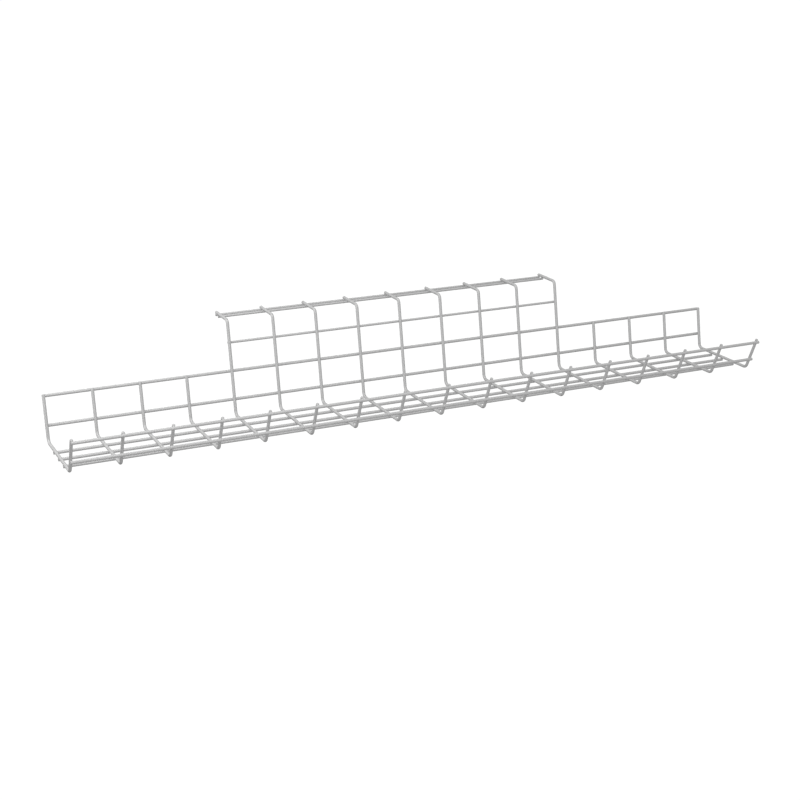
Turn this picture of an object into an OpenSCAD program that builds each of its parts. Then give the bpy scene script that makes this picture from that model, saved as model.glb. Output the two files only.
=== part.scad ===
// Wire mesh cable basket that hangs under a desk top.
// Bent cross wires carry straight long wires, which are welded on along their outer side.
// The cross wires in the middle are taller: they end in hooks that lie flat under the desk top.
// X runs along the basket, Y from its front lip to its back, and Z is up.
// The origin is on the floor under the middle of the basket.

/* [Wire] */
// Diameter of the cross wires
cross_d = 5; // [3:0.5:6]
// Diameter of the long wires of the trough
long_d = 5; // [3:0.5:6]
// Diameter of the long wires of the hanger
hanger_long_d = 4; // [3:0.5:6]

/* [Mesh] */
// Spacing of the cross wires
pitch = 75; // [50:1:90]
// Number of spaces between cross wires on each side of the hanger
side_bays = 4; // [2:1:6]
// Number of spaces between cross wires across the hanger
hanger_bays = 8; // [4:2:12]
// Sideways shift of every second hanger wire, right and left in turn
hanger_stagger = 1.2; // [0:0.1:3]
// How far the long wires stand past the middle of the end cross wires
end_trim = 1.5; // [0:0.5:8]

/* [Floor] */
// Depth of the floor, from corner to corner along the middle of a cross wire
floor_depth = 136.5; // [110:0.5:180]
// Distance from the back corner to the rearmost floor wire
floor_inset = 35.5; // [20:0.5:45]
// Spacing of the three floor wires
floor_spacing = 31.6; // [20:0.1:32]
// Radius of the floor's bends, along the middle of a cross wire
floor_bend_r = 9; // [6:0.5:15]

/* [Back wall] */
// Lean of the back wall and the hanger from upright, in degrees
wall_lean = 10; // [0:1:20]
// Height of the lowest back wire above the floor's cross wires
low_wire_z = 25; // [20:1:30]
// Vertical spacing of the wires on the back wall and the hanger
wall_spacing = 45; // [35:1:50]

/* [Hanger] */
// Height of the hooks above the floor's cross wires
hook_z = 150.5; // [140:0.5:200]
// Distance from the hanger's top corner to the inner hook wire
hook_inset = 41.5; // [20:0.1:60]
// Spacing of the two hook wires, which leaves a slot for screws
hook_spacing = 12.3; // [8:0.1:20]
// How far the hooks stand past the middle of the outer hook wire
hook_trim = 0.5; // [0:0.5:4]
// Radius of the hooks' bend, along the middle of a cross wire
hook_bend_r = 7; // [5:0.5:12]

/* [Front lip] */
// Lean of the front lip from upright, in degrees
lip_lean = 23; // [0:1:45]
// Distance from the front corner to the lower lip wire
lip_inset = 22; // [16:0.5:30]
// Spacing of the two lip wires
lip_spacing = 37.5; // [25:0.5:60]

/* [Hidden] */
$fn = 32;
join_lap = 0.3;
join_skin = 0.02;
end_bays = 2 * side_bays + hanger_bays;
end_x = end_bays * pitch / 2;
hanger_x = hanger_bays * pitch / 2;

// The corners of the cross wires lie on these directions, seen from the end as [y, z].
wall_up = [sin(wall_lean), cos(wall_lean)];
wall_out = [cos(wall_lean), -sin(wall_lean)];
lip_up = [-sin(lip_lean), cos(lip_lean)];
lip_out = [-cos(lip_lean), -sin(lip_lean)];
floor_out = [0, -1];

// Centre distance of a long wire that touches a cross wire from outside
trough_seat = (cross_d + long_d) / 2;
hook_seat = (cross_d + hanger_long_d) / 2;

// Corners and ends of the cross wires' centreline, with the back corner of the floor at [0, 0]
function on_wall(z) = wall_up * z / cos(wall_lean);
function on_lip(distance) = front_corner + lip_up * distance;
back_corner = [0, 0];
front_corner = [-floor_depth, 0];
hook_corner = on_wall(hook_z);
rim_z = low_wire_z + wall_spacing;
rim_end = on_wall(rim_z) + wall_up * long_d / 2;
hook_end = hook_corner + [hook_inset + hook_spacing + hook_trim, 0];
lip_end = on_lip(lip_inset + lip_spacing + long_d / 2);

// The frame's place, worked out from the outermost corners of the wires
front_y = min(
    (lip_end + lip_out * cross_d / 2)[0],
    (on_lip(lip_inset + lip_spacing) + lip_out * trough_seat)[0] - long_d / 2
);
back_y = hook_end[0] + max(hanger_long_d / 2 - hook_trim, 0);
mid_y = (front_y + back_y) / 2;
foot_z = -trough_seat - long_d / 2;

// Length of wire that a bend takes from each side of its corner at b
function bend_cut(a, b, c, r) = r / tan(acos(unit(a - b) * unit(c - b)) / 2);
function unit(v) = v / norm(v);
function heading(v) = atan2(v[1], v[0]);
function turn(a, b, c) = let (t = heading(c - b) - heading(b - a))
    t > 180 ? t - 360 : t < -180 ? t + 360 : t;

// Straight round wire from a to b, both [y, z]
module rod(a, b, d) {
    translate([0, a[0], a[1]])
        rotate([heading(b - a) - 90, 0, 0])
            cylinder(h = norm(b - a), d = d);
}

// Round bend of radius r at the corner b of the path a, b, c
module bend(a, b, c, r, d) {
    cut = bend_cut(a, b, c, r);
    start = b + unit(a - b) * cut;
    side = sign(turn(a, b, c));
    normal = side * [-unit(b - a)[1], unit(b - a)[0]];
    centre = start + normal * r;
    first = heading(start - centre);
    translate([0, centre[0], centre[1]])
        rotate([90, 0, 90])
            rotate([0, 0, side > 0 ? first : first + turn(a, b, c)])
                rotate_extrude(angle = abs(turn(a, b, c)))
                    translate([r, 0]) circle(d = d);
}

// Wire bent along points, with one bend radius for each inner point.
// Its straight lengths run a little way into the bends, which are a hair thicker, so that the
// two join into one solid without their surfaces grazing each other.
module bent_wire(points, radii, d) {
    last = len(points) - 1;
    cuts = [for (i = [0 : last]) i == 0 || i == last ? 0
        : bend_cut(points[i - 1], points[i], points[i + 1], radii[i - 1]) - join_lap];
    for (i = [0 : last - 1]) {
        way = unit(points[i + 1] - points[i]);
        rod(points[i] + way * cuts[i], points[i + 1] - way * cuts[i + 1], d);
    }
    for (i = [1 : last - 1])
        bend(points[i - 1], points[i], points[i + 1], radii[i - 1], d + 2 * join_skin);
}

// Place of cross wire i along the basket
function cross_x(i) = i * pitch - end_x
    + (i > side_bays && i < side_bays + hanger_bays ? hanger_stagger * sin(90 * (i - side_bays)) : 0);
function is_hanger(i) = i >= side_bays && i <= side_bays + hanger_bays;

// Cross wire i, bent into the trough, and also up into a hook within the hanger
module cross_wire(i) {
    floor_path = [back_corner, front_corner, lip_end];
    floor_bends = [floor_bend_r, floor_bend_r];
    color("Gainsboro")
        translate([cross_x(i), -mid_y, -foot_z])
            if (is_hanger(i))
                bent_wire(concat([hook_end, hook_corner], floor_path),
                    concat([hook_bend_r], floor_bends), cross_d);
            else
                bent_wire(concat([rim_end], floor_path), floor_bends, cross_d);
}

// Straight wire along X, laid against the outer side of the cross wires at a profile point
module long_wire(point, out, seat, half_length, d) {
    centre = point + out * seat;
    color("Silver")
        translate([-half_length - end_trim, centre[0] - mid_y, centre[1] - foot_z])
            rotate([0, 90, 0])
                cylinder(h = 2 * (half_length + end_trim), d = d);
}

module back_wire() long_wire(on_wall(low_wire_z), wall_out, trough_seat, end_x, long_d);
module back_rim_wire() long_wire(on_wall(rim_z), wall_out, trough_seat, end_x, long_d);
module hanger_wire()
    long_wire(on_wall(rim_z + wall_spacing), wall_out, hook_seat, hanger_x, hanger_long_d);
module hook_wire(inset)
    long_wire(hook_corner + [inset, 0], floor_out, hook_seat, hanger_x, hanger_long_d);
module floor_wire(k)
    long_wire([-floor_inset - k * floor_spacing, 0], floor_out, trough_seat, end_x, long_d);
module lip_wire(inset) long_wire(on_lip(inset), lip_out, trough_seat, end_x, long_d);

for (i = [0 : end_bays])
    cross_wire(i);
back_wire();
back_rim_wire();
hanger_wire();
hook_wire(hook_inset);  // hook_wire_inner
hook_wire(hook_inset + hook_spacing);  // hook_wire_outer
for (k = [0 : 2])
    floor_wire(k);
lip_wire(lip_inset);
lip_wire(lip_inset + lip_spacing);  // lip_rim_wire
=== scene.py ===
"""Looks of the wire mesh cable basket: its coated wires, their welds, and a plain studio.

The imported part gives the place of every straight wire. The bent cross wires are worked out from
those, because each one touches the straight wires from inside. All sizes are in metres, in the
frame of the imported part: X along the basket, Y from its front lip to its back, and Z up.
"""

from __future__ import annotations

import logging
import math
from dataclasses import dataclass, field
from enum import Enum

import bpy
import numpy as np
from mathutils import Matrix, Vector


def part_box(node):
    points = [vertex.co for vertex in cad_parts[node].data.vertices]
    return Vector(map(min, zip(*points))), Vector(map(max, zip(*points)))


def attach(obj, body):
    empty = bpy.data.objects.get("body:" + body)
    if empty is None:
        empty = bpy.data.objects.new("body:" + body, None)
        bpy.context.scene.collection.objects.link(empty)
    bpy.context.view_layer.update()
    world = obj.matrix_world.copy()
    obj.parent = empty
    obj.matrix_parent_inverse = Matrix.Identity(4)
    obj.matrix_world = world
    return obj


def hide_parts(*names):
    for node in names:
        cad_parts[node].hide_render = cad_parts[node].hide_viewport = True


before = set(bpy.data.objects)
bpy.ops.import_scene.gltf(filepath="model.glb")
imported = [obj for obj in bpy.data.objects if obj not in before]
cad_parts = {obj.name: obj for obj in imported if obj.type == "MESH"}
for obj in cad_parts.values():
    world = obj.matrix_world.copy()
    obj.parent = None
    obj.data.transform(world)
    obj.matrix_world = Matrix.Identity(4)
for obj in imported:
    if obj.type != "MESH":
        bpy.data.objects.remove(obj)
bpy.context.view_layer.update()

log = logging.getLogger("basket")

MM = 0.001
X_AXIS = np.array([1.0, 0.0, 0.0])
UP = np.array([0.0, 0.0, 1.0])
EVEN_FILM = 0.5
WHITE = "#FFFFFF"


# Surfaces


@dataclass
class Surface:
    """A mesh as whole arrays, with the thickness of its coat at every vertex.

    Attributes:
        points: Vertices, one row each.
        quads: Corner numbers of the four-sided faces.
        fans: Corner numbers of the three-sided faces, which close the poles.
        film: Thickness of the coat at each vertex: 0 where it draws back, 0.5 where it is even
            and 1 where it gathers.
    """

    points: np.ndarray
    quads: np.ndarray
    fans: np.ndarray
    film: np.ndarray

    @staticmethod
    def joined(parts: list[Surface]) -> Surface:
        """Put several surfaces into one mesh, with their faces renumbered.

        Args:
            parts: The surfaces, which stay separate shells.

        Returns:
            One surface that holds them all.
        """
        starts = np.cumsum([0] + [len(part.points) for part in parts[:-1]])
        return Surface(
            points=np.concatenate([part.points for part in parts]),
            quads=np.concatenate([part.quads + at for part, at in zip(parts, starts)]),
            fans=np.concatenate([part.fans + at for part, at in zip(parts, starts)]),
            film=np.concatenate([part.film for part in parts]),
        )

    def to_object(self, name: str) -> bpy.types.Object:
        """Make a smooth shaded object of the surface, at the origin of the frame.

        Args:
            name: Name of the object and of its mesh.

        Returns:
            The new object, linked to the scene.
        """
        mesh = bpy.data.meshes.new(name)
        mesh.from_pydata(self.points.tolist(), [], self.quads.tolist() + self.fans.tolist())
        mesh.attributes.new("film", "FLOAT", "POINT").data.foreach_set("value", self.film)
        mesh.shade_smooth()
        mesh.update()
        thing = bpy.data.objects.new(name, mesh)
        bpy.context.scene.collection.objects.link(thing)
        return thing


def closed_grid(rings: np.ndarray, poles: np.ndarray, film: np.ndarray) -> Surface:
    """Skin a stack of closed rings and close both ends with a pole.

    Point (i, j) of the grid is joined to (i, j + 1), (i + 1, j + 1) and (i + 1, j), where j goes
    round and wraps. The last ring and the first one are joined to their own pole by triangles.

    Args:
        rings: Points as an array of rings by points round by 3, anticlockwise about the way on.
        poles: The first and the last pole, as 2 by 3.
        film: Thickness of the coat at each ring.

    Returns:
        A closed surface whose faces point outwards.
    """
    count, around, _ = rings.shape
    number = np.arange(count * around).reshape(count, around)
    onward = np.roll(number, -1, axis=1)
    quads = np.stack([number[:-1], onward[:-1], onward[1:], number[1:]], axis=-1)
    first = np.full(around, count * around)
    fans = np.concatenate([
        np.stack([first, onward[0], number[0]], axis=-1),
        np.stack([first + 1, number[-1], onward[-1]], axis=-1),
    ])
    return Surface(
        points=np.concatenate([rings.reshape(-1, 3), poles]),
        quads=quads.reshape(-1, 4),
        fans=fans,
        film=np.concatenate([np.repeat(film, around), film[[0, -1]]]),
    )


@dataclass(frozen=True)
class CutEnd:
    """The sheared end of a wire under its coat: a nearly flat face with a rounded edge.

    Attributes:
        edge: Radius of the rounded edge.
        steps: Rings round the edge.
        thin_film: Thickness of the coat on the edge, where it draws back.
        face_rings: Radii of the rings in the face, as shares of its flat part.
        face_film: Thickness of the coat at those rings.
    """

    edge: float = 0.7 * MM
    steps: int = 5
    thin_film: float = 0.1
    face_rings: tuple[float, ...] = (0.35, 0.8)
    face_film: tuple[float, ...] = (0.4, 0.3)

    def rings(self, radius: float) -> tuple[np.ndarray, np.ndarray, np.ndarray]:
        """Work out the rings from the face of the end to the full wire.

        Round the edge, with a from 0 to a quarter turn, a ring stands edge * (1 - cos a) behind
        the face and is edge * (1 - sin a) smaller than the wire. The other rings lie in the face.

        Args:
            radius: Radius of the wire.

        Returns:
            The distance of each ring behind the face, its radius, and its coat.
        """
        angle = np.linspace(0.0, math.pi / 2, self.steps + 1)
        inner = (radius - self.edge) * np.array(self.face_rings)
        behind = np.concatenate([np.zeros(len(inner)), self.edge * (1 - np.cos(angle))])
        size = np.concatenate([inner, radius - self.edge * (1 - np.sin(angle))])
        film = np.concatenate([self.face_film, np.linspace(self.thin_film, EVEN_FILM, self.steps + 1)])
        return behind, size, film


def wire_skin(path: np.ndarray, ways: np.ndarray, side: np.ndarray, radius: float, sides: int) -> Surface:
    """Carry a circle along a path that lies in one plane, and round both cut ends.

    The ring at path point p is p + r * (cos a * side + sin a * (way x side)), where way is the
    direction of the path there and a goes once round.

    Args:
        path: Points of the centreline, from the first end to the last.
        ways: Unit direction of the path at each point.
        side: Unit vector square to the plane of the path.
        radius: Radius of the wire.
        sides: Points round each ring.

    Returns:
        The closed skin of the wire.
    """
    behind, size, film = CutEnd().rings(radius)
    centres = np.concatenate([
        path[0] + behind[:, None] * ways[0],
        path[1:-1],
        (path[-1] - behind[:, None] * ways[-1])[::-1],
    ])
    along = np.concatenate([
        np.repeat(ways[:1], len(behind), axis=0),
        ways[1:-1],
        np.repeat(ways[-1:], len(behind), axis=0),
    ])
    sizes = np.concatenate([size, np.full(len(path) - 2, radius), size[::-1]])
    coat = np.concatenate([film, np.full(len(path) - 2, EVEN_FILM), film[::-1]])
    angle = np.arange(sides) * 2 * math.pi / sides
    other = np.cross(along, side)
    circle = np.cos(angle)[:, None] * side + np.sin(angle)[:, None] * other[:, None, :]
    rings = centres[:, None, :] + sizes[:, None, None] * circle
    return closed_grid(rings, np.stack([path[0], path[-1]]), coat)


# Finishes


def linear(hex_colour: str) -> tuple[float, float, float, float]:
    """Turn an sRGB hex colour into the linear values that a shader takes.

    Args:
        hex_colour: Such as "#A0A0A0".

    Returns:
        Linear red, green and blue, and an alpha of 1.
    """
    shown = np.array([int(hex_colour[at:at + 2], 16) / 255 for at in (1, 3, 5)])
    light = np.where(shown <= 0.04045, shown / 12.92, ((shown + 0.055) / 1.055) ** 2.4)
    return (*light.tolist(), 1.0)


def add_node(
    tree: bpy.types.NodeTree,
    kind: str,
    links: dict[str | int, bpy.types.NodeSocket] | None = None,
    values: dict[str | int, object] | None = None,
    **settings: object,
) -> bpy.types.Node:
    """Add one node with its settings, its values and what feeds it.

    Args:
        tree: The node tree that the node goes into.
        kind: The node's type, without the word ShaderNode in front.
        links: Output sockets by the name or number of the input that each feeds.
        values: Values by the name or number of their input.
        **settings: The node's own properties.

    Returns:
        The new node.
    """
    node = tree.nodes.new("ShaderNode" + kind)
    for name, setting in settings.items():
        setattr(node, name, setting)
    for name, value in (values or {}).items():
        node.inputs[name].default_value = value
    for name, socket in (links or {}).items():
        tree.links.new(socket, node.inputs[name])
    return node


@dataclass(frozen=True)
class PowderCoat:
    """Polyester powder coat on drawn steel wire, sprayed and baked.

    A baked powder film is satin. Its surface has a shallow orange peel, and over that the fine
    grain of the powder. It draws back from sharp edges, which then look a little darker, and
    gathers at the welds, which look a little smoother and lighter.

    Attributes:
        colour: Colour of the even film.
        edge_colour: Colour where the film is thin.
        pooled_colour: Colour where the film is thick.
        roughness: Gloss of the even film.
        ior: Refractive index of polyester resin.
        peel_size: Width of the orange peel's waves.
        peel_height: Height of the orange peel.
        grain_size: Width of the powder's grain, drawn about twice as coarse as it is so that it
            shows from near.
        grain_height: Height of the grain.
        drift_size: Length over which the film's thickness drifts along a wire.
        drift: How much it drifts, up and down.
    """

    colour: str = "#ACACAC"
    edge_colour: str = "#A0A0A0"
    pooled_colour: str = "#B4B4B4"
    roughness: float = 0.52
    ior: float = 1.5
    peel_size: float = 2.2 * MM
    peel_height: float = 0.03 * MM
    grain_size: float = 0.5 * MM
    grain_height: float = 0.012 * MM
    drift_size: float = 70 * MM
    drift: float = 0.12

    def material(self) -> bpy.types.Material:
        """Build the node material of the coat, on object coordinates and the film attribute.

        Returns:
            The new material.
        """
        made = bpy.data.materials.new("powder_coat_light_grey")
        made.use_nodes = True
        tree = made.node_tree
        tree.nodes.clear()
        place = add_node(tree, "TexCoord").outputs["Object"]
        film = add_node(tree, "Attribute", attribute_name="film").outputs["Fac"]
        drift = add_node(
            tree, "TexNoise", {"Vector": place}, {"Scale": 1 / self.drift_size, "Detail": 2.0}
        ).outputs["Fac"]
        change = add_node(tree, "MapRange", {"Value": drift}, {"To Min": -self.drift, "To Max": self.drift})
        thickness = add_node(tree, "Math", {0: film, 1: change.outputs["Result"]}, operation="ADD")
        tone = add_node(tree, "ValToRGB", {"Fac": thickness.outputs["Value"]})
        stops = tone.color_ramp.elements
        stops[0].position = 0.0
        stops[0].color = linear(self.edge_colour)
        stops[1].position = 1.0
        stops[1].color = linear(self.pooled_colour)
        even = stops.new(0.5)
        even.color = linear(self.colour)
        peel = add_node(
            tree, "TexNoise", {"Vector": place}, {"Scale": 1 / self.peel_size, "Detail": 1.0}
        ).outputs["Fac"]
        grain = add_node(
            tree, "TexNoise", {"Vector": place}, {"Scale": 1 / self.grain_size, "Detail": 2.0}
        ).outputs["Fac"]
        waves = add_node(tree, "Bump", {"Height": peel}, {"Distance": self.peel_height})
        relief = add_node(
            tree,
            "Bump",
            {"Height": grain, "Normal": waves.outputs["Normal"]},
            {"Distance": self.grain_height},
        )
        coat = add_node(
            tree,
            "BsdfPrincipled",
            {"Base Color": tone.outputs["Color"], "Normal": relief.outputs["Normal"]},
            {"Roughness": self.roughness, "IOR": self.ior},
        )
        add_node(tree, "OutputMaterial", {"Surface": coat.outputs["BSDF"]})
        return made


@dataclass(frozen=True)
class TentCloth:
    """Dull white diffusing cloth that is lit from outside.

    Attributes:
        colour: Colour in the light from inside, kept dark so that the glow stays even.
        glow: Strength of the light that comes through.
        roughness: Dullness of the cloth.
    """

    colour: str = "#181818"
    glow: float = 1.0
    roughness: float = 0.9

    def material(self) -> bpy.types.Material:
        """Build the cloth's material.

        Returns:
            The new material.
        """
        made = bpy.data.materials.new("tent_cloth")
        made.use_nodes = True
        tree = made.node_tree
        tree.nodes.clear()
        cloth = add_node(
            tree,
            "BsdfPrincipled",
            values={
                "Base Color": linear(self.colour),
                "Roughness": self.roughness,
                "Emission Color": linear(WHITE),
                "Emission Strength": self.glow,
            },
        )
        add_node(tree, "OutputMaterial", {"Surface": cloth.outputs["BSDF"]})
        return made


# Wires


class Row(Enum):
    """A side of the cross wires, as the first and the last straight wire that lie along it.

    A cross wire is followed from the tip of its lip to its other end, so each pair is in that
    order.
    """

    LIP = ("lip_rim_wire", "lip_wire")
    FLOOR = ("floor_wire_3", "floor_wire_1")
    WALL = ("back_wire", "back_rim_wire")
    HOOK = ("hook_wire_inner", "hook_wire_outer")


@dataclass(frozen=True)
class StraightWire:
    """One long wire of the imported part, measured from its own box.

    Attributes:
        node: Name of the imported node.
        row: The side of the cross wires that it lies along.
    """

    node: str
    row: Row

    @property
    def low(self) -> np.ndarray:
        """Lowest corner of the wire."""
        return np.array(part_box(self.node)[0])

    @property
    def high(self) -> np.ndarray:
        """Highest corner of the wire."""
        return np.array(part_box(self.node)[1])

    @property
    def radius(self) -> float:
        """Radius of the wire."""
        return float(self.high[2] - self.low[2]) / 2

    @property
    def middle(self) -> np.ndarray:
        """Centre of the wire's section, as Y and Z."""
        return (self.low[1:] + self.high[1:]) / 2

    def skin(self, sides: int) -> Surface:
        """Make the coated wire from end to end.

        Args:
            sides: Points round the wire.

        Returns:
            Its closed skin.
        """
        stations = np.array([self.low[0], 0.0, self.high[0]])
        path = np.column_stack([stations, np.tile(self.middle, (len(stations), 1))])
        return wire_skin(path, np.tile(X_AXIS, (len(stations), 1)), UP, self.radius, sides)


@dataclass
class Section:
    """The basket seen from its end, as the lines that the cross wires follow.

    Every point is [y, z]. The cross wires' centreline runs beside the centres of the straight
    wires, one radius of each away, and its corners are where those lines meet.

    Attributes:
        wires: The straight wires by node name.
        radius: Radius of the cross wires.
        hook_end: Where the hooks end, along Y.
        floor_bend: Bend radius at both ends of the floor, along the centreline.
        hook_bend: Bend radius at the foot of the hooks, along the centreline.
        bend_steps: Stretches in each bend.
    """

    wires: dict[str, StraightWire]
    radius: float
    hook_end: float
    floor_bend: float = 9 * MM
    hook_bend: float = 7 * MM
    bend_steps: int = 10

    def line(self, row: Row) -> tuple[np.ndarray, np.ndarray, np.ndarray]:
        """Find the centreline that touches the straight wires of one row from inside.

        Args:
            row: The side of the cross wires.

        Returns:
            A point of the line, its unit direction, and the unit way out to the wires.
        """
        start, stop = (self.wires[node] for node in row.value)
        way = (stop.middle - start.middle) / np.linalg.norm(stop.middle - start.middle)
        out = np.array([way[1], -way[0]])
        return start.middle - out * (self.radius + start.radius), way, out

    @staticmethod
    def meet(one: tuple[np.ndarray, ...], two: tuple[np.ndarray, ...]) -> np.ndarray:
        """Find where two lines cross.

        Args:
            one: A point and a direction, and anything after them.
            two: The same for the other line.

        Returns:
            The point on both.
        """
        steps = np.linalg.solve(np.column_stack([one[1], -two[1]]), two[0] - one[0])
        return one[0] + one[1] * steps[0]

    def beyond(self, line: tuple[np.ndarray, ...], node: str) -> np.ndarray:
        """Find the point of a line that is level with the far side of one of its wires.

        Args:
            line: A point and a unit direction, and anything after them.
            node: Name of the wire.

        Returns:
            The point.
        """
        wire = self.wires[node]
        return line[0] + line[1] * ((wire.middle - line[0]) @ line[1] + wire.radius)

    def hook_rest(self, spot: np.ndarray) -> float:
        """Measure the length of hook past a weld, as far as half-way round its cut edge."""
        return float(self.hook_end - CutEnd.edge / 2 - spot[0])

    def corners(self, tall: bool) -> tuple[np.ndarray, list[float]]:
        """Lay out the corners of a cross wire from the tip of its lip to its other end.

        Args:
            tall: True for a wire with a hook, false for one that ends at the back wall's rim.

        Returns:
            The corners with both ends, and the bend radius at each inner one.
        """
        lip, base, wall, hook = (self.line(row) for row in Row)
        lip_end = self.beyond((lip[0], -lip[1]), "lip_rim_wire")
        turns = [lip_end, self.meet(lip, base), self.meet(base, wall)]
        bends = [self.floor_bend, self.floor_bend]
        if not tall:
            return np.array([*turns, self.beyond(wall, "back_rim_wire")]), bends
        hook_tip = hook[0] + hook[1] * (self.hook_end - hook[0][0]) / hook[1][0]
        return np.array([*turns, self.meet(wall, hook), hook_tip]), [*bends, self.hook_bend]

    def centreline(self, tall: bool) -> tuple[np.ndarray, np.ndarray]:
        """Round the corners of a cross wire into its bends.

        A bend of radius r that turns by t starts r * tan(t / 2) before its corner. Its points lie
        round its centre at equal angles, and its direction turns with them.

        Args:
            tall: True for a wire with a hook.

        Returns:
            Points and unit directions along the wire, as [y, z].
        """
        corners, bends = self.corners(tall)
        ways = np.diff(corners, axis=0)
        ways /= np.linalg.norm(ways, axis=1)[:, None]
        points, headings = [corners[:1]], [ways[:1]]
        for corner, before, after, bend in zip(corners[1:-1], ways[:-1], ways[1:], bends):
            cross = before[0] * after[1] - before[1] * after[0]
            turn = math.atan2(cross, before @ after)
            normal = math.copysign(1.0, turn) * np.array([-before[1], before[0]])
            centre = corner - before * bend * math.tan(abs(turn) / 2) + normal * bend
            angle = np.linspace(0.0, turn, self.bend_steps + 1)
            spin = np.stack([[np.cos(angle), -np.sin(angle)], [np.sin(angle), np.cos(angle)]])
            points.append(centre + np.einsum("ijk,j->ki", spin, -normal * bend))
            headings.append(np.einsum("ijk,j->ki", spin, before))
        return (
            np.concatenate([*points, corners[-1:]]),
            np.concatenate([*headings, ways[-1:]]),
        )


@dataclass
class WeldBead:
    """The collar of metal and coat round the spot where two crossing wires are welded.

    Seen along the line between the wires it is round, but it stops short of the wires' ends. Its
    foot lies on one wire and its head on the other, and its waist is drawn in.

    Attributes:
        reach: Radius of the collar as a share of the thinner wire's radius.
        waist: How far the waist is drawn in, as a share of the collar's height.
        sink: How deep its edges go into the wires.
        root: How deep its poles lie in the wires, as a share of the wires' radii.
        sides: Points round it.
        levels: Rings from foot to head.
        film: Thickness of the coat that gathers there.
    """

    reach: float = 0.84
    waist: float = 0.42
    sink: float = 0.06 * MM
    root: float = 0.25
    sides: int = 20
    levels: int = 7
    film: float = 1.0

    def skin(
        self, spot: np.ndarray, out: np.ndarray, cross: float, straight: float, room: tuple[float, ...]
    ) -> Surface:
        """Make the bead between a cross wire and a straight wire that touches its outer side.

        At angle a from X, a point of the foot lies u = R * cos a along X and v = R * sin a along
        the cross wire, both kept within the room. The cross wire's skin is r - sqrt(r^2 - u^2)
        inside its outermost line there, and the straight wire's the same with v. Between foot and
        head both u and v shrink by the share waist * height / R * sin(pi * t), with t from 0 at
        the foot to 1 at the head.

        Args:
            spot: Where the two wires touch.
            out: Unit way from the cross wire to the straight one.
            cross: Radius of the cross wire.
            straight: Radius of the straight wire.
            room: Length of full wire round the spot: of the straight wire to the left and to the
                right, and of the cross wire to its end away from the lip.

        Returns:
            The closed skin of the bead.
        """
        wide = self.reach * min(cross, straight)
        angle = np.arange(self.sides) * 2 * math.pi / self.sides
        u = np.clip(wide * np.cos(angle), -room[0], room[1])
        v = np.maximum(wide * np.sin(angle), -room[2])
        foot = np.sqrt(cross**2 - u**2) - cross - self.sink
        head = straight - np.sqrt(straight**2 - v**2) + self.sink
        level = np.linspace(0.0, 1.0, self.levels)[:, None]
        height = foot + (head - foot) * level
        share = 1 - self.waist * (head - foot) / wide * np.sin(math.pi * level)
        rings = (
            spot
            + (share * u)[..., None] * X_AXIS
            + (share * v)[..., None] * np.cross(out, X_AXIS)
            + height[..., None] * out
        )
        poles = spot + self.root * np.array([[-cross], [straight]]) * out
        return closed_grid(rings, poles, np.full(self.levels, self.film))


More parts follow.
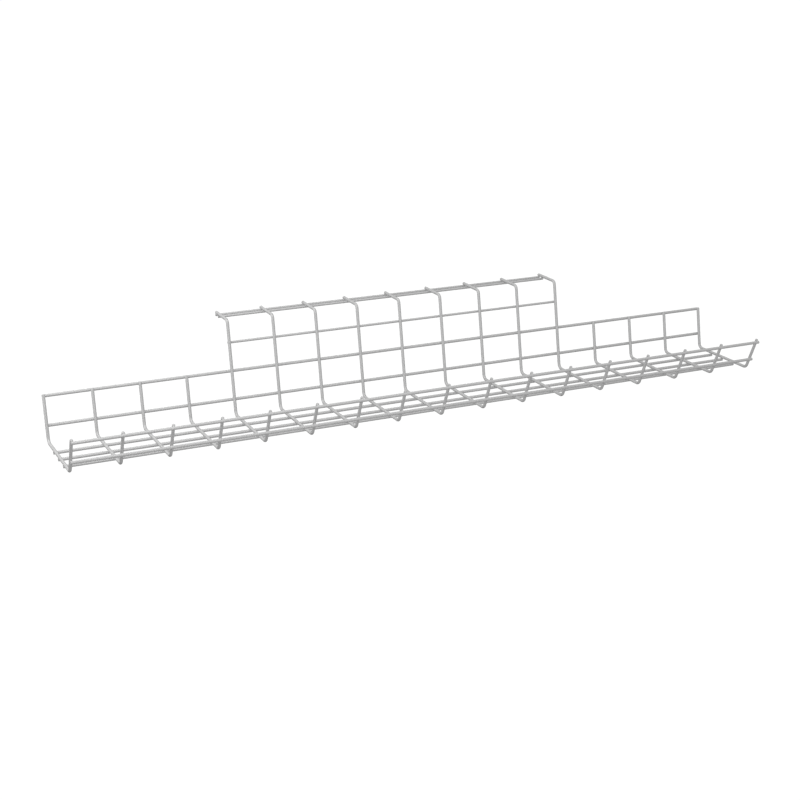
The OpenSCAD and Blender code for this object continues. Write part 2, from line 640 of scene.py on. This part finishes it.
@dataclass
class Basket:
    """The welded basket: straight wires, bent cross wires, and the weld at each crossing.

    Attributes:
        coat: The finish that covers everything.
        bead: The weld between two wires.
        cross_radius: Radius of the cross wires.
        sides: Points round every wire.
        straight: The straight wires by node name.
        cross_x: Place of each cross wire along X, by node name.
        tall: Whether each cross wire has a hook, by node name.
        section: The lines that the cross wires follow.
    """

    coat: bpy.types.Material
    bead: WeldBead = field(default_factory=WeldBead)
    cross_radius: float = 2.5 * MM
    sides: int = 24
    straight: dict[str, StraightWire] = field(init=False)
    cross_x: dict[str, float] = field(init=False)
    tall: dict[str, bool] = field(init=False)
    section: Section = field(init=False)

    def __post_init__(self) -> None:
        """Read the straight wires and the places of the cross wires from the frame."""
        rows = {
            Row.LIP: ("lip_rim_wire", "lip_wire"),
            Row.FLOOR: ("floor_wire_1", "floor_wire_2", "floor_wire_3"),
            Row.WALL: ("back_wire", "back_rim_wire", "hanger_wire"),
            Row.HOOK: ("hook_wire_inner", "hook_wire_outer"),
        }
        self.straight = {node: StraightWire(node, row) for row, nodes in rows.items() for node in nodes}
        boxes = {node: np.array(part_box(node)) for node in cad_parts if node.startswith("cross_wire_")}
        self.cross_x = {node: float(box[:, 0].mean()) for node, box in boxes.items()}
        rim = self.straight["back_rim_wire"].high[2]
        self.tall = {node: bool(box[1][2] > rim + 2 * self.cross_radius) for node, box in boxes.items()}
        hook_end = max(float(box[1][1]) for node, box in boxes.items() if self.tall[node])
        self.section = Section(self.straight, self.cross_radius, hook_end)

    def dress(self, piece: bpy.types.Object) -> bpy.types.Object:
        """Coat a piece, let it ride with the basket's one body, and report it.

        Args:
            piece: The piece, bare.

        Returns:
            The same piece.
        """
        piece.data.materials.append(self.coat)
        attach(piece, "root")
        triangles = len(piece.data.loops) - 2 * len(piece.data.polygons)
        log.info("%s: %d triangles", piece.name, triangles)
        return piece

    def add_straight_wires(self) -> None:
        """Make every straight wire in place of its plain solid."""
        for node, wire in self.straight.items():
            piece = self.dress(wire.skin(self.sides).to_object("coated_" + node))
            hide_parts(node)

    def add_cross_wires(self) -> None:
        """Make every bent cross wire in place of its plain solid."""
        for node, x in self.cross_x.items():
            yz, headings = self.section.centreline(self.tall[node])
            path = np.column_stack([np.full(len(yz), x), yz])
            ways = np.column_stack([np.zeros(len(yz)), headings])
            skin = wire_skin(path, ways, X_AXIS, self.cross_radius, self.sides)
            piece = self.dress(skin.to_object("coated_" + node))
            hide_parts(node)

    def add_welds(self) -> None:
        """Weld each straight wire to the cross wires that it passes, in one piece a wire."""
        for node, wire in self.straight.items():
            out = self.section.line(wire.row)[2]
            spot = wire.middle - out * wire.radius
            start, stop = wire.low[0] + CutEnd.edge, wire.high[0] - CutEnd.edge
            rest = self.section.hook_rest(spot) if wire.row is Row.HOOK else math.inf
            beads = [
                self.bead.skin(
                    np.array([x, *spot]),
                    np.array([0.0, *out]),
                    self.cross_radius,
                    wire.radius,
                    (x - start, stop - x, rest),
                )
                for x in self.cross_x.values()
                if start < x < stop
            ]
            self.dress(Surface.joined(beads).to_object("welds_" + node))


# Studio


@dataclass(frozen=True)
class LightTent:
    """A round tent of white cloth with a flat floor, lit more strongly above and in front.

    The cloth shows itself and throws no light on the wires. Their light comes from the world
    behind it, which is easier to balance. In the unit direction (x, y, z) the world's strength is
    fill + top * z - front * y, where z counts only above 0 and y only below 0.

    Attributes:
        cloth: The finish of the tent.
        radius: Radius of the floor and of the round top.
        sides: Points round the tent.
        levels: Rings from the floor's edge towards the top.
        fill: Strength of the light all round.
        top: Strength that is added straight above.
        front: Strength that is added straight in front.
    """

    cloth: TentCloth = field(default_factory=TentCloth)
    radius: float = 30.0
    sides: int = 48
    levels: int = 12
    fill: float = 0.37
    top: float = 0.51
    front: float = 0.21

    def pitch(self) -> None:
        """Stand the tent on the level of the lowest wires, as the scene's floor and backdrop."""
        turn = np.arange(self.sides) * 2 * math.pi / self.sides
        rise = np.linspace(0.0, math.pi / 2, self.levels, endpoint=False)[:, None]
        rings = self.radius * np.stack(
            [np.cos(rise) * np.cos(turn), np.cos(rise) * np.sin(turn), np.sin(rise) + 0.0 * turn], axis=-1
        )
        poles = np.array([[0.0, 0.0, 0.0], [0.0, 0.0, self.radius]])
        tent = closed_grid(rings, poles, np.full(self.levels, EVEN_FILM)).to_object("light_tent")
        tent.data.materials.append(self.cloth.material())
        tent.visible_diffuse = tent.visible_glossy = tent.visible_shadow = False

    def world(self) -> bpy.types.World:
        """Build the node world that lights the wires.

        Returns:
            The new world.
        """
        made = bpy.data.worlds.new("tent_light")
        made.use_nodes = True
        tree = made.node_tree
        tree.nodes.clear()
        way = add_node(tree, "SeparateXYZ", {"Vector": add_node(tree, "TexCoord").outputs["Generated"]})
        above = add_node(tree, "Math", {0: way.outputs["Z"]}, {1: 0.0}, operation="MAXIMUM")
        before = add_node(tree, "Math", {0: way.outputs["Y"]}, {1: 0.0}, operation="MINIMUM")
        lit = add_node(
            tree, "Math", {0: above.outputs[0]}, {1: self.top, 2: self.fill}, operation="MULTIPLY_ADD"
        )
        total = add_node(
            tree,
            "Math",
            {0: before.outputs[0], 2: lit.outputs[0]},
            {1: -self.front},
            operation="MULTIPLY_ADD",
        )
        light = add_node(
            tree, "Background", {"Strength": total.outputs[0]}, {"Color": linear(WHITE)}
        )
        add_node(tree, "OutputWorld", {"Surface": light.outputs["Background"]})
        return made


@dataclass(frozen=True)
class SoftLamp:
    """A round softbox that faces the basket.

    It throws no shadows, because those of one wire on the next would be thin and hard.

    Attributes:
        name: Name of the lamp.
        power: Power in watts.
        heading: Where it stands, in degrees from the front towards the left.
        height: How high it stands, in degrees above the table.
        distance: Distance from the point that it faces.
        size: Width of the softbox.
        aim: The point that it faces, in the left half of the trough.
    """

    name: str
    power: float
    heading: float
    height: float
    distance: float
    size: float = 1.0
    aim: tuple[float, float, float] = (-0.2, 0.0, 0.08)

    def place(self) -> None:
        """Hang the lamp so that it faces its point."""
        lamp = bpy.data.lights.new(self.name, "AREA")
        lamp.shape = "DISK"
        lamp.size = self.size
        lamp.energy = self.power
        lamp.use_shadow = False
        turn, rise = math.radians(self.heading), math.radians(self.height)
        away = Vector((-math.sin(turn) * math.cos(rise), -math.cos(turn) * math.cos(rise), math.sin(rise)))
        holder = bpy.data.objects.new(self.name, lamp)
        holder.location = Vector(self.aim) + away * self.distance
        holder.rotation_euler = away.to_track_quat("Z", "Y").to_euler()
        bpy.context.scene.collection.objects.link(holder)


@dataclass
class Studio:
    """A light tent with two soft lamps, and a camera in front of the basket's left end.

    Attributes:
        tent: The tent and its light.
        lamps: The soft lamps.
        eye: Place of the camera, from the middle of the basket's foot.
        heading: Way the camera looks, in degrees from Y towards X.
        tilt: How far it looks down, in degrees.
        lens: Focal length in millimetres.
        sensor: Width of the sensor in millimetres.
    """

    tent: LightTent = field(default_factory=LightTent)
    lamps: tuple[SoftLamp, ...] = (
        SoftLamp("lamp_left", power=16.2, heading=90.0, height=45.0, distance=1.5),
        SoftLamp("lamp_front", power=19.8, heading=0.0, height=20.0, distance=2.5),
    )
    eye: tuple[float, float, float] = (-1.030, -2.1222, 0.789)
    heading: float = 25.23
    tilt: float = 18.43
    lens: float = 67.5
    sensor: float = 36.0

    def add_light(self) -> None:
        """Pitch the tent round the scene, and place the lamps."""
        self.tent.pitch()
        bpy.context.scene.world = self.tent.world()
        for lamp in self.lamps:
            lamp.place()

    def add_camera(self) -> None:
        """Set up the camera."""
        camera = bpy.data.cameras.new("studio_camera")
        camera.lens = self.lens
        camera.sensor_width = self.sensor
        camera.clip_end = 3 * self.tent.radius
        holder = bpy.data.objects.new("studio_camera", camera)
        holder.location = self.eye
        holder.rotation_euler = (math.radians(90 - self.tilt), 0.0, -math.radians(self.heading))
        bpy.context.scene.collection.objects.link(holder)
        bpy.context.scene.camera = holder

    def set_tones(self) -> None:
        """Show tones as they are, with no film curve."""
        bpy.context.scene.view_settings.view_transform = "Standard"
        bpy.context.scene.view_settings.look = "None"


def main() -> None:
    """Build the studio and the basket, and log each piece."""
    logging.basicConfig(level=logging.INFO, format="%(name)s: %(message)s")
    studio = Studio()
    studio.add_camera()
    studio.add_light()
    studio.set_tones()
    basket = Basket(PowderCoat().material())
    basket.add_straight_wires()
    basket.add_cross_wires()
    basket.add_welds()


if __name__ == "__main__":
    main()
